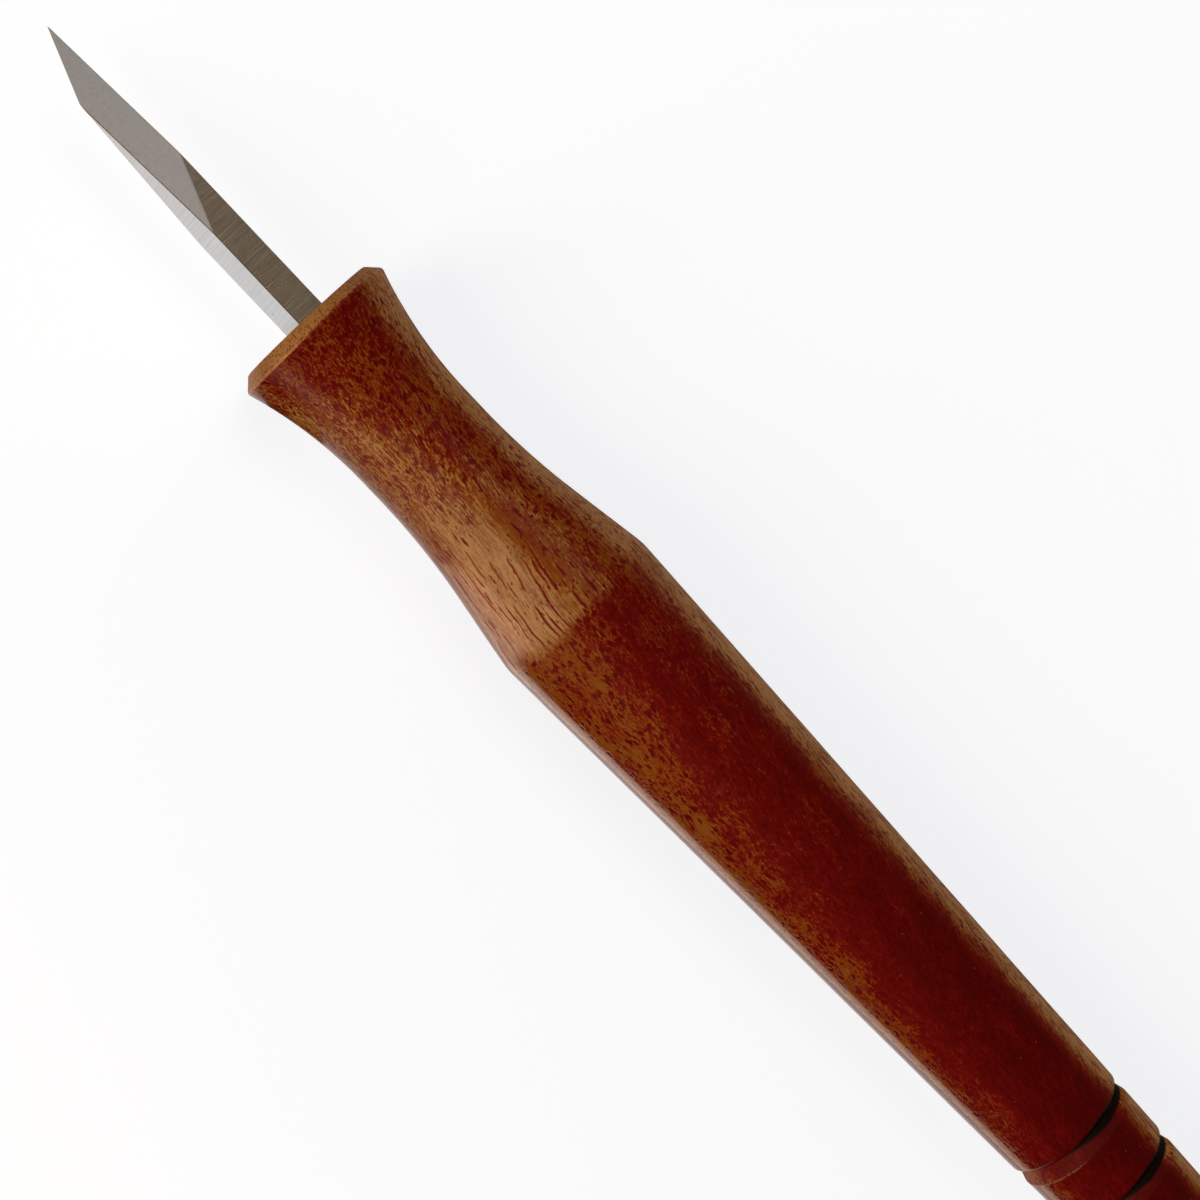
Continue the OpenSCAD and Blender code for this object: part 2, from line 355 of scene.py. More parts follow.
colours = add(tree, "ShaderNodeValToRGB", {0: darkness})
stops = colours.color_ramp.elements
for number, (at, code) in enumerate(WOOD_COLOURS):
    stop = stops[number] if number < 2 else stops.new(at)  # a new ramp has two stops
    stop.position = at
    stop.color = linear(code)
dust = add(tree, "ShaderNodeTexVoronoi", {"Vector": board, "Scale": 1 / DUST_SPACING}).outputs
chance = add(tree, "ShaderNodeSeparateColor", {0: dust["Color"]}).outputs[0]
speck = add(tree, "ShaderNodeMapRange", {"Value": chance, **DUST_SIZE}).outputs[0]
speck = add(tree, "ShaderNodeMath", {0: speck, 1: dust["Distance"]}, operation="GREATER_THAN").outputs[0]
speck = add(tree, "ShaderNodeMath", {0: speck, 1: DUST_STRENGTH}, operation="MULTIPLY").outputs[0]
dust_and_glints = add(tree, "ShaderNodeMix", {
    0: speck, 6: colours.outputs["Color"], 7: linear(DUST_AND_GLINT_COLOUR),
}, data_type="RGBA").outputs[2]
print("wood ramp of", len(stops), "colours")

# %% [markdown]
# Near-black painted shade fills the grooves, most of it on the far side, away from the key lamp, where the front wall
# of each groove lies in shadow. Thin painted highlights lie on the rim and on the rear lips of the grooves, on the
# other side, where those rounded edges catch the lamp. Each mark is a ring: the distance from one station, turned
# into a soft band that narrows to nothing on the other side. The flecks of the wood break the painted highlights, so
# they are never even lines.

# %% Painted shade in the grooves and painted highlights on the rim and lips
GROOVES = (102.6, 109.3)  # stations of their deepest lines
GROOVE_SHADE_BEHIND, LIP_BEHIND, RIM_AT = 0.05, 1.5, 1.25

far_side = add(tree, "ShaderNodeMapRange", {"Value": sideways, "From Min": -0.4, "From Max": 0.4}).outputs[0]
near_side = add(tree, "ShaderNodeMapRange", {"Value": sideways, "From Min": 0, "From Max": -0.3}).outputs[0]
patchy = add(tree, "ShaderNodeMapRange", {"Value": flecks, "From Min": -0.15, "From Max": 0.1}).outputs[0]
near_side = add(tree, "ShaderNodeMath", {0: near_side, 1: patchy}, operation="MULTIPLY").outputs[0]
# Each mark: station, half width, soft border, side, strength and colour.
# Near-black painted shade in each groove, widest on the far side, away from the key lamp.
marks = [(at + GROOVE_SHADE_BEHIND, 0.5, 0.2, far_side, 1, "#060101") for at in GROOVES]
# Thin painted highlights on the rear lips of the grooves, on the near side.
marks += [(at + LIP_BEHIND, 0.06, 0.12, near_side, 0.27, "#B98A58") for at in GROOVES]
# A thin painted highlight on the rounded rim, on the near side.
marks += [(RIM_AT, 0.08, 0.1, near_side, 0.35, "#C79A66")]
marked = dust_and_glints
for at, half, soft, side, strength, code in marks:
    band = add(tree, "ShaderNodeMath", {
        0: ring(at, half, soft, side), 1: strength,
    }, operation="MULTIPLY").outputs[0]
    marked = add(tree, "ShaderNodeMix", {0: band, 6: marked, 7: linear(code)}, data_type="RGBA").outputs[2]
print("marks of use:", len(marks), "rings")

# %% [markdown]
# The lacquer is a thin clear coat that has sunk into the wood. It gives a soft, slightly golden veil where a lamp
# is mirrored and stays clear elsewhere. The side that lies in the hand is polished by use, so the roughness falls
# there, and a fine noise in it keeps the shine from looking like glass. Groove walls, long pores and end grain
# drink the lacquer and stay dull.

# %% Lacquer
HAZE_PER_MM = 1.2
ROUGH, POLISHED_BODY, POLISHED_NECK = 0.25, 0.08, 0.18
DULL_BEHIND, DULL_HALF, DULL_SOFT = 0.6, 0.8, 0.2  # rings over the groove walls, in millimetres

haze = add(tree, "ShaderNodeTexNoise", {"Vector": board, "Scale": HAZE_PER_MM, "Detail": 3}).outputs[0]
smoothest = add(tree, "ShaderNodeMapRange", {
    "Value": neck, "To Min": POLISHED_BODY, "To Max": POLISHED_NECK,
}).outputs[0]
roughness = add(tree, "ShaderNodeMapRange", {
    "Value": sideways, "From Min": -0.7, "From Max": -0.8, "To Min": ROUGH, "To Max": smoothest,
}).outputs[0]
dulled = [(haze, 0.1)]
dulled += [(ring(at + DULL_BEHIND, DULL_HALF, DULL_SOFT), 0.4) for at in GROOVES]
dulled += [(long_pores, 0.5), (end_grain, 0.3)]
for dull, amount in dulled:
    roughness = add(tree, "ShaderNodeMath", {0: dull, 1: amount, 2: roughness}, operation="MULTIPLY_ADD").outputs[0]
surface = add(tree, "ShaderNodeBsdfPrincipled", {
    "Base Color": marked, "Roughness": roughness, "Normal": sunk, "IOR": 1.5, "Specular IOR Level": 0.12,
    "Specular Tint": linear("#FFF0D8"),
})
add(tree, "ShaderNodeOutputMaterial", {"Surface": surface.outputs[0]})
print("wood material has", len(tree.nodes), "nodes")

# %% [markdown]
# ## The turned handle
# On the lathe a handle is one outline turned round an axis. The outline starts at the tip of the drilled hole,
# comes out of the front face and runs over chamfer, neck, shoulder, taper and grooves to the centre of the butt.
# Both hollows of the neck are arcs that are level at the waist. Each corner is a station, a radius and the radius
# of its rounding.

# %% Corners of the handle, in millimetres from the front face
NOSE_R, CHAMFER = 8.3, 1.2
WAIST_R, WAIST_FROM, WAIST_TO = 6.25, 14, 16.2
SHOULDER_R, SHOULDER_AT, CONE_FROM = 8.45, 35.2, 27.103
BUTT_R = 5.7
FRONT_COVE_R, REAR_COVE_R = 40.986, 67.85
HOLE_R, HOLE_LEN, HOLE_TIP = 2.345, 29.7, 31.11
GROOVE_FRONT, GROOVE_BACK, GROOVE_DEPTH = 0.5, 1.4, 0.45
HOLE_ROUND, FACE_ROUND, RIM_ROUND, SHOULDER_ROUND, BUTT_ROUND = 0.1, 0.35, 0.5, 7, 2.5
LIP_ROUND, BOTTOM_ROUND = 0.3, 0.1


def cove(level_at, radius, start, stop, step=0.6):
    """Corners along a hollow arc that is level at one station."""
    count = math.ceil((stop - start) / step)
    stations = [start + (stop - start) * i / count for i in range(count + 1)]
    return [(at, WAIST_R + radius - math.sqrt(radius ** 2 - (at - level_at) ** 2), 0) for at in stations]


def body_r(at):
    return SHOULDER_R + (BUTT_R - SHOULDER_R) * (at - SHOULDER_AT) / (HANDLE_LEN - SHOULDER_AT)


def groove(at):
    return [
        (at - GROOVE_FRONT, body_r(at - GROOVE_FRONT), LIP_ROUND),
        (at, body_r(at) - GROOVE_DEPTH, BOTTOM_ROUND),
        (at + GROOVE_BACK, body_r(at + GROOVE_BACK), LIP_ROUND),
    ]


corners = [(HOLE_TIP, 0, 0), (HOLE_LEN, HOLE_R, 0), (0, HOLE_R, HOLE_ROUND)]
corners += [(0, NOSE_R - CHAMFER, FACE_ROUND), (CHAMFER, NOSE_R, RIM_ROUND)]
corners += cove(WAIST_FROM, FRONT_COVE_R, CHAMFER, WAIST_FROM)[1:]
corners += cove(WAIST_TO, REAR_COVE_R, WAIST_TO, CONE_FROM)
corners += [(SHOULDER_AT, SHOULDER_R, SHOULDER_ROUND)]
for at in GROOVES:
    corners += groove(at)
corners += [(HANDLE_LEN, BUTT_R, BUTT_ROUND), (HANDLE_LEN, 0, 0)]
print("handle of", len(corners), "corners")

# %% [markdown]
# Sandpaper softens every corner of the turned wood. A Bevel modifier could round the finished mesh, but it gives all
# edges one width. Here each corner of the outline gets an arc of its own radius, tangent to both sides. Long
# straight stretches are then cut into short spans, because the sanding below needs points to move.

# %% Sanded outline
WIDEST_SPAN = 1


def soften(corners, degrees=7):
    """Points through the corners (station, radius, rounding), each rounding an arc tangent to both sides."""
    points = [Vector(corners[0][:2])]
    for before, corner, after in zip(corners, corners[1:], corners[2:]):
        here, rounding = Vector(corner[:2]), corner[2]
        if not rounding:
            points.append(here)
            continue
        back = (Vector(before[:2]) - here).normalized()
        onward = (Vector(after[:2]) - here).normalized()
        half = back.angle(onward) / 2
        centre = here + (back + onward).normalized() * rounding / math.sin(half)
        first = here + back * rounding / math.tan(half) - centre
        last = here + onward * rounding / math.tan(half) - centre
        begin = math.atan2(first.y, first.x)
        turn = (math.atan2(last.y, last.x) - begin + math.pi) % (2 * math.pi) - math.pi
        steps = max(3, math.ceil(abs(math.degrees(turn)) / degrees))
        for i in range(steps + 1):
            angle = begin + turn * i / steps
            points.append(centre + rounding * Vector((math.cos(angle), math.sin(angle))))
    return points + [Vector(corners[-1][:2])]


softened = soften(corners)
outline = []
for start, stop in zip(softened, softened[1:]):
    spans = math.ceil((stop - start).length / WIDEST_SPAN)
    outline += [start.lerp(stop, i / spans) for i in range(spans)]
outline.append(Vector((HANDLE_LEN, 0)))
print("outline of", len(outline), "points")

# %% [markdown]
# Blender has a Screw modifier for turned shapes, but a lathe of our own as Geometry Nodes can also sand. It lays
# out a flat grid with one row for each point of the outline, bends every row into a ring, and merges the seam and
# the two centres.

# %% The lathe
SAME_PLACE = 0.001 * MM  # points closer than this are one

lathe = bpy.data.node_groups.new("turn_and_sand", "GeometryNodeTree")
for name, kind in {
    "Outline": "NodeSocketGeometry", "Steps": "NodeSocketInt", "Axis height": "NodeSocketFloat",
    "Hole radius": "NodeSocketFloat", "Sanding": "NodeSocketFloat", "Ripples": "NodeSocketFloat",
    "Wood": "NodeSocketMaterial",
}.items():
    lathe.interface.new_socket(name, in_out="INPUT", socket_type=kind)
lathe.interface.new_socket("Handle", in_out="OUTPUT", socket_type="NodeSocketGeometry")

given = add(lathe, "NodeGroupInput").outputs
rows = add(lathe, "GeometryNodeAttributeDomainSize", {"Geometry": given["Outline"]}).outputs["Point Count"]
columns = add(lathe, "ShaderNodeMath", {0: given["Steps"], 1: 1}, operation="ADD").outputs[0]
grid = add(lathe, "GeometryNodeMeshGrid", {"Vertices X": rows, "Vertices Y": columns}).outputs["Mesh"]
index = add(lathe, "GeometryNodeInputIndex").outputs[0]
row = add(lathe, "ShaderNodeMath", {0: index, 1: columns}, operation="DIVIDE").outputs[0]
row = add(lathe, "ShaderNodeMath", {0: row}, operation="FLOOR").outputs[0]
column = add(lathe, "ShaderNodeMath", {0: index, 1: columns}, operation="MODULO").outputs[0]
turned_by = add(lathe, "ShaderNodeMath", {0: column, 1: given["Steps"]}, operation="DIVIDE").outputs[0]
turned_by = add(lathe, "ShaderNodeMath", {0: turned_by, 1: math.tau}, operation="MULTIPLY").outputs[0]
position = add(lathe, "GeometryNodeInputPosition").outputs[0]
on_outline = add(lathe, "GeometryNodeSampleIndex", {
    "Geometry": given["Outline"], "Value": position, "Index": row,
}, data_type="FLOAT_VECTOR").outputs[0]
outline_x, _, outline_r = add(lathe, "ShaderNodeSeparateXYZ", {0: on_outline}).outputs
sine = add(lathe, "ShaderNodeMath", {0: turned_by}, operation="SINE").outputs[0]
cosine = add(lathe, "ShaderNodeMath", {0: turned_by}, operation="COSINE").outputs[0]
ring_y = add(lathe, "ShaderNodeMath", {0: outline_r, 1: sine}, operation="MULTIPLY").outputs[0]
ring_z = add(lathe, "ShaderNodeMath", {
    0: outline_r, 1: cosine, 2: given["Axis height"],
}, operation="MULTIPLY_ADD").outputs[0]
on_ring = add(lathe, "ShaderNodeCombineXYZ", {0: outline_x, 1: ring_y, 2: ring_z}).outputs[0]
bent = add(lathe, "GeometryNodeSetPosition", {"Geometry": grid, "Position": on_ring}).outputs[0]
closed = add(lathe, "GeometryNodeMergeByDistance", {"Geometry": bent, "Distance": SAME_PLACE}).outputs[0]
print("bending takes", len(lathe.nodes), "nodes")

# %% [markdown]
# Sandpaper in the hand takes off a few hundredths of a millimetre unevenly, so reflections waver a little. Sculpting
# could do it, but a noise gives the same on every run. It pushes each point inwards along its normal, except inside
# the hole. It only takes wood away, so the handle stays inside its measured solid.

# %% Sanding
_, off_y, off_z = add(lathe, "ShaderNodeSeparateXYZ", {0: position}).outputs
off_z = add(lathe, "ShaderNodeMath", {0: off_z, 1: given["Axis height"]}, operation="SUBTRACT").outputs[0]
radius = add(lathe, "ShaderNodeVectorMath", {
    0: add(lathe, "ShaderNodeCombineXYZ", {1: off_y, 2: off_z}).outputs[0],
}, operation="LENGTH").outputs["Value"]
outside = add(lathe, "ShaderNodeMath", {0: radius, 1: given["Hole radius"]}, operation="GREATER_THAN").outputs[0]
uneven = add(lathe, "ShaderNodeTexNoise", {
    "Vector": position, "Scale": given["Ripples"], "Detail": 1,
}).outputs[0]
taken = add(lathe, "ShaderNodeMath", {0: uneven, 1: given["Sanding"]}, operation="MULTIPLY").outputs[0]
taken = add(lathe, "ShaderNodeMath", {0: taken, 1: outside}, operation="MULTIPLY").outputs[0]
normal = add(lathe, "GeometryNodeInputNormal").outputs[0]
inward = add(lathe, "ShaderNodeMath", {0: taken, 1: -1}, operation="MULTIPLY").outputs[0]
offset = add(lathe, "ShaderNodeVectorMath", {0: normal, "Scale": inward}, operation="SCALE").outputs[0]
sanded = add(lathe, "GeometryNodeSetPosition", {"Geometry": closed, "Offset": offset}).outputs[0]
smooth = add(lathe, "GeometryNodeSetShadeSmooth", {"Geometry": sanded}).outputs[0]
real = add(lathe, "GeometryNodeRealizeInstances", {"Geometry": smooth}).outputs[0]
dressed = add(lathe, "GeometryNodeSetMaterial", {"Geometry": real, "Material": given["Wood"]}).outputs[0]
add(lathe, "NodeGroupOutput", {"Handle": dressed})
print("the whole lathe has", len(lathe.nodes), "nodes")

# %% [markdown]
# Now the outline goes on the lathe. A modifier's inputs are set by the identifier of each socket, because names may
# repeat. The finished mesh is taken from the evaluated object, so the piece is plain geometry. Its volume and its
# open edges show whether it is a closed solid.

# %% Turn the handle
RING_STEPS = 192
SANDING_DEPTH, RIPPLES_PER_METRE, HOLE_EDGE = 0.05 * MM, 110.0, 0.15


def solid_facts(mesh):
    """Volume in cubic millimetres, positive if the faces look outward, and the number of open edges."""
    work = bmesh.new()
    work.from_mesh(mesh)
    volume = work.calc_volume(signed=True) / MM ** 3
    holes = sum(len(e.link_faces) != 2 for e in work.edges)
    work.free()
    return round(volume, 1), holes


profile = bpy.data.meshes.new("handle_outline")
profile.from_pydata(
    [(FRONT.x + p.x * MM, 0, p.y * MM) for p in outline],
    [(i, i + 1) for i in range(len(outline) - 1)], [],
)
handle = bpy.data.objects.new("turned_handle", profile)
bpy.context.scene.collection.objects.link(handle)
machine = handle.modifiers.new("lathe", "NODES")
machine.node_group = lathe
settings = {
    "Steps": RING_STEPS, "Axis height": FRONT.z, "Hole radius": (HOLE_R + HOLE_EDGE) * MM,
    "Sanding": SANDING_DEPTH, "Ripples": RIPPLES_PER_METRE, "Wood": wood,
}
for socket in lathe.interface.items_tree:
    if socket.in_out == "INPUT" and socket.name in settings:
        machine[socket.identifier] = settings[socket.name]
now = bpy.context.evaluated_depsgraph_get()
turned = bpy.data.meshes.new_from_object(handle.evaluated_get(now), depsgraph=now)
handle.modifiers.clear()
handle.data = turned
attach(handle, "root")
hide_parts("handle")
print("turned handle:", len(turned.polygons), "faces, volume and open edges", solid_facts(turned))

# %% [markdown]
# ## The steel
# The bar is hardened tool steel, ground on all four sides: fine lines run across it. The bevels were honed by hand
# and are finer and duller. The arrises are duller still, and their steel is painted dark: a thin line of painted
# shade runs along them, so no white line shows there. All three are the same metal, so one function makes them. A
# stretched noise gives the lines in colour and, as a Bump, in the surface. Real grinding lines are a few hundredths
# of a millimetre wide, and these are drawn 0.12 mm wide, because finer ones would be lost in the picture. Near the
# handle a few dull specks of dried glue sit on the steel: they look dark on a flat that mirrors the white floor and
# pale on one that mirrors the room.

# %% Ground and honed steel
ROUGHNESS_SPREAD = 0.05
SPECK_COLOUR, SPECK_CHANCE, SPECK_SPACING = "#8C8072", 0.7, 0.45 * MM
SPECK_SIZE = {"From Min": FRONT.x - 18 * MM, "From Max": FRONT.x, "To Min": 0.05, "To Max": 0.22}  # place to size
# Lines: their size and depth in millimetres, and how they are turned.
GRINDING = ((0.12, 5, 5), 0.0005, (0, 0, math.radians(8)))
HONING = ((0.3, 0.3, 0.3), 0.0015, (0, 0, 0))


def steel(name, colour_low, colour_high, roughness, line_size, line_depth, line_turn):
    made, tree = empty_material(name)
    place = add(tree, "ShaderNodeTexCoord").outputs["Object"]
    lines = add(tree, "ShaderNodeMapping", {
        "Vector": place, "Rotation": line_turn, "Scale": [1 / (size * MM) for size in line_size],
    }).outputs[0]
    scratch = add(tree, "ShaderNodeTexNoise", {
        "Vector": lines, "Scale": 1, "Detail": 3, "Roughness": 0.6,
    }).outputs[0]
    tone = add(tree, "ShaderNodeMapRange", {"Value": scratch, "From Min": 0.3, "From Max": 0.7}).outputs[0]
    metal = add(tree, "ShaderNodeMix", {
        0: tone, 6: linear(colour_low), 7: linear(colour_high),
    }, data_type="RGBA").outputs[2]
    worn = add(tree, "ShaderNodeMapRange", {
        "Value": tone, "To Min": roughness - ROUGHNESS_SPREAD, "To Max": roughness + ROUGHNESS_SPREAD,
    }).outputs[0]
    pressed = add(tree, "ShaderNodeBump", {"Height": scratch, "Distance": line_depth * MM}).outputs[0]
    cell = add(tree, "ShaderNodeTexVoronoi", {"Vector": place, "Scale": 1 / SPECK_SPACING}).outputs
    chance = add(tree, "ShaderNodeSeparateColor", {0: cell["Color"]}).outputs[0]
    largest = add(tree, "ShaderNodeMapRange", {
        "Value": add(tree, "ShaderNodeSeparateXYZ", {0: place}).outputs["X"], **SPECK_SIZE,
    }).outputs[0]
    size = add(tree, "ShaderNodeMapRange", {
        "Value": chance, "From Min": SPECK_CHANCE, "To Max": largest,
    }).outputs[0]
    speck = add(tree, "ShaderNodeMath", {0: size, 1: cell["Distance"]}, operation="GREATER_THAN").outputs[0]
    bare = add(tree, "ShaderNodeMath", {0: 1, 1: speck}, operation="SUBTRACT").outputs[0]
    colour = add(tree, "ShaderNodeMix", {0: speck, 6: metal, 7: linear(SPECK_COLOUR)}, data_type="RGBA").outputs[2]
    surface = add(tree, "ShaderNodeBsdfPrincipled", {
        "Base Color": colour, "Metallic": bare, "Roughness": worn, "Normal": pressed,
    })
    add(tree, "ShaderNodeOutputMaterial", {"Surface": surface.outputs[0]})
    return made


# Surface-ground steel: a bright grey that mirrors the room softly and is streaked by fine lines across the bar.
ground_steel = steel("ground_tool_steel", "#B9B5B0", "#C9C6C3", 0.23, *GRINDING)
# Steel honed on a stone: an even grey with a satin sheen and no direction.
honed_steel = steel("honed_tool_steel", "#938D87", "#9C9791", 0.38, *HONING)
# Dull steel on the rounded corners, painted dark: a thin line of painted shade between two flats.
arris_dark_line_steel = steel("dull_arris_dark_line_steel", "#4A4136", "#5C5346", 0.5, *HONING)
print("three steels, with grinding lines", GRINDING[0][0], "mm wide")

# %% [markdown]
# ## The blade
# The measured blade comes in as loose triangles. Merging its corners and dissolving the lines between triangles
# that lie in one plane gives back the real faces: four flats, two bevels and the end of the tang. A grinding wheel
# leaves a hair of rounding on every arris, so a small bevel goes on all edges but one. The cutting edge, where the
# two honed faces meet, stays sharp.

# %% Blade with softened arrises
ARRIS = 0.07 * MM
ONE_PLANE = math.radians(0.5)
SQUARE = 0.999  # least share of a flat's normal along one axis
# DULL is the dark-painted arris steel: a thin line of painted shade along the edges.
HONED, DULL = 1, 2  # places in the blade's list of materials, where ground steel is 0

blade_shape = bmesh.new()
blade_shape.from_mesh(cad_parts["blade"].data)
bmesh.ops.remove_doubles(blade_shape, verts=blade_shape.verts, dist=SAME_PLACE)
bmesh.ops.dissolve_limit(blade_shape, angle_limit=ONE_PLANE, verts=blade_shape.verts, edges=blade_shape.edges)
bmesh.ops.recalc_face_normals(blade_shape, faces=blade_shape.faces)
honed = [face for face in blade_shape.faces if max(abs(n) for n in face.normal) < SQUARE]
for face in honed:
    face.material_index = HONED
arrises = [edge for edge in blade_shape.edges if not all(face in honed for face in edge.link_faces)]
bmesh.ops.bevel(
    blade_shape, geom=arrises, offset=ARRIS, offset_type="OFFSET", segments=2, profile=0.5, affect="EDGES",
    clamp_overlap=True, material=DULL,
)
# An arris along a bevel is honed with it, apart from those on the near side, which keep the line of painted shade.
for face in blade_shape.faces:
    if face.material_index == DULL and abs(face.normal.x) > 0.01 and face.normal.y > -0.3:
        face.material_index = HONED
blade_mesh = bpy.data.meshes.new("ground_blade")
blade_shape.to_mesh(blade_mesh)
blade_shape.free()
for metal in (ground_steel, honed_steel, arris_dark_line_steel):
    blade_mesh.materials.append(metal)
blade = bpy.data.objects.new("ground_blade", blade_mesh)
bpy.context.scene.collection.objects.link(blade)
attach(blade, "root")
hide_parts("blade")
print("blade:", len(honed), "honed faces, volume and open edges", solid_facts(blade_mesh))

# %% [markdown]
# ## The glue
# A square bar in a round hole leaves four gaps, and the glue in them shows as four small amber half-moons in the
# front face. Real epoxy lets some light in before it turns back. Glass would do that too, but it is slow to render
# in so small a gap, so a little subsurface scattering stands in.

# %% Epoxy
CLOUD_SIZE, LIGHT_DEPTH = 0.8 * MM, 0.4 * MM

# Cured epoxy: a clear, glossy amber with a little cloud in it.
amber, amber_tree = empty_material("amber_epoxy")
cloud = add(amber_tree, "ShaderNodeTexNoise", {
    "Vector": add(amber_tree, "ShaderNodeTexCoord").outputs["Object"], "Scale": 1 / CLOUD_SIZE, "Detail": 2,
}).outputs[0]
tint = add(amber_tree, "ShaderNodeMix", {
    0: cloud, 6: linear("#A87A33"), 7: linear("#D0A95C"),
}, data_type="RGBA").outputs[2]
cured = add(amber_tree, "ShaderNodeBsdfPrincipled", {
    "Base Color": tint, "Roughness": 0.18, "IOR": 1.55, "Subsurface Weight": 0.4, "Subsurface Scale": LIGHT_DEPTH,
})
add(amber_tree, "ShaderNodeOutputMaterial", {"Surface": cured.outputs[0]})
print("epoxy material has", len(amber_tree.nodes), "nodes")

# %% [markdown]
# Wet glue creeps up both walls before it sets, so its surface is hollow between them. Cutting the bar out of a
# cylinder with a Boolean would leave it flat. Rings of points run from the bar out to the wall of the hole instead,
# and each gap's dip grows with its width. Two more rings close the solid along the tang and along the hole.

# %% Glue bed
glue_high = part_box("glue_bed")[1]
blade_low, blade_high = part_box("blade")
HALF_BAR = (blade_high.y - blade_low.y) / 2
GLUE_STEPS, GLUE_RINGS = 96, 6
SUNK_IN = 0.06 * MM
DIP = 0.22  # share of the gap

rings = []
for number in range(GLUE_RINGS + 1):
    share = number / GLUE_RINGS
    points = []
    for step in range(GLUE_STEPS):
        angle = math.tau * step / GLUE_STEPS
        inner = HALF_BAR / max(abs(math.cos(angle)), abs(math.sin(angle)))
        gap = HOLE_R * MM - inner
        dip = SUNK_IN + DIP * gap * 4 * share * (1 - share)
        reach = inner + gap * share
        points.append((FRONT.x + dip, reach * math.cos(angle), FRONT.z + reach * math.sin(angle)))
    rings.append(points)
tang_end = [(blade_high.x, y, z) for _, y, z in rings[0]]
hole_end = [(FRONT.x + HOLE_LEN * MM, y, z) for _, y, z in rings[-1]]
levels = [tang_end, *rings, hole_end]

glue_shape = bmesh.new()
loops = [[glue_shape.verts.new(point) for point in level] for level in levels]
pocket = glue_shape.verts.new((blade_high.x, 0, FRONT.z))
tip = glue_shape.verts.new((glue_high.x, 0, FRONT.z))
for step in range(GLUE_STEPS):
    after = (step + 1) % GLUE_STEPS
    glue_shape.faces.new((pocket, loops[0][step], loops[0][after]))
    for near, far in zip(loops, loops[1:]):
        glue_shape.faces.new((near[step], far[step], far[after], near[after]))
    glue_shape.faces.new((loops[-1][step], tip, loops[-1][after]))
bmesh.ops.recalc_face_normals(glue_shape, faces=glue_shape.faces)
glue_mesh = bpy.data.meshes.new("glue_fillet")
glue_shape.to_mesh(glue_mesh)
glue_shape.free()
glue_mesh.materials.append(amber)
glue = bpy.data.objects.new("glue_fillet", glue_mesh)
bpy.context.scene.collection.objects.link(glue)
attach(glue, "root")
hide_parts("glue_bed")
print("glue: volume and open edges", solid_facts(glue_mesh))

# %% [markdown]
# ## The studio
# The knife lies on white paper that goes up as a low wall round the table. To the camera and in reflections the
# paper is a little lighter and cooler than the warm lamps make it, so it reads as white, and the knife's shadow
# stays on it. The wall is there for the camera alone, so the light in the room stays as it is.

# %% Floor and backdrop
PAPER_GREY, PAPER_LIFT = 0.38, 0.8
ROOM, WALL_HIGH, FLOOR_LEVEL = 4, 1.5, -0.02 * MM  # metres

# Plain paper: white without any shine.
paper, paper_tree = empty_material("white_paper")
ray = add(paper_tree, "ShaderNodeLightPath").outputs
seen = ray["Is Camera Ray"]
for kind in ("Is Glossy Ray", "Is Transmission Ray"):
    seen = add(paper_tree, "ShaderNodeMath", {0: seen, 1: ray[kind]}, operation="MAXIMUM").outputs[0]
lift = add(paper_tree, "ShaderNodeMath", {0: seen, 1: PAPER_LIFT}, operation="MULTIPLY").outputs[0]
white = add(paper_tree, "ShaderNodeBsdfPrincipled", {
    "Base Color": (PAPER_GREY, PAPER_GREY, PAPER_GREY, 1), "Roughness": 1, "Specular IOR Level": 0,
    "Emission Color": linear("#F5F9FF"), "Emission Strength": lift,
})
add(paper_tree, "ShaderNodeOutputMaterial", {"Surface": white.outputs[0]})


def sheet(name, low, high, level, material):
    """A flat rectangle between two corners, given as x and y, at one height."""
    flat = bpy.data.meshes.new(name)
    flat.from_pydata(
        [(low[0], low[1], level), (high[0], low[1], level), (high[0], high[1], level), (low[0], high[1], level)],
        [], [(0, 1, 2, 3)],
    )
    flat.materials.append(material)
    laid = bpy.data.objects.new(name, flat)
    bpy.context.scene.collection.objects.link(laid)
    return laid


sheet("floor", (-ROOM, -ROOM), (ROOM, ROOM), FLOOR_LEVEL, paper)
around = [(-ROOM, -ROOM), (ROOM, -ROOM), (ROOM, ROOM), (-ROOM, ROOM)]
wall = bpy.data.meshes.new("backdrop")
wall.from_pydata(
    [(x, y, height) for height in (FLOOR_LEVEL, WALL_HIGH) for x, y in around], [],
    [(i, i + 4, (i + 1) % 4 + 4, (i + 1) % 4) for i in range(4)],
)
wall.materials.append(paper)
backdrop = bpy.data.objects.new("backdrop", wall)
bpy.context.scene.collection.objects.link(backdrop)
backdrop.visible_diffuse = backdrop.visible_glossy = backdrop.visible_shadow = False
print("paper floor", 2 * ROOM, "m wide, with a wall", WALL_HIGH, "m high")

# %% [markdown]
# So much white on both sides would lie on the lacquer as a pale veil. A photographer keeps it off with dark cards.
# A black one lies along the body and a small one beside the nose. A narrow dark one on the far side is a painted
# shadow: it lies where the knife's shadow falls and shows that shadow darker in reflections, with a pale grey one
# beyond it. All lie on the table and show in reflections alone.

# %% Dark cards
DARK_CARD_LEVEL = 0.3 * MM
DARK_CARDS = (  # name, two corners in metres, and colour
    ("black_card", (-0.008, -0.3), (0.25, -0.012), "#101010"),
    ("nose_card", (-0.0415, -0.03), (-0.0355, -0.005), "#101010"),
    # The shadow card is a painted shadow: the knife's shadow on the table, as reflections see it.
    ("shadow_card", (-0.08, 0.0095), (0.25, 0.021), "#101010"),
    ("grey_card", (-0.045, 0.021), (0.25, 0.3), "#E8E2D6"),
)

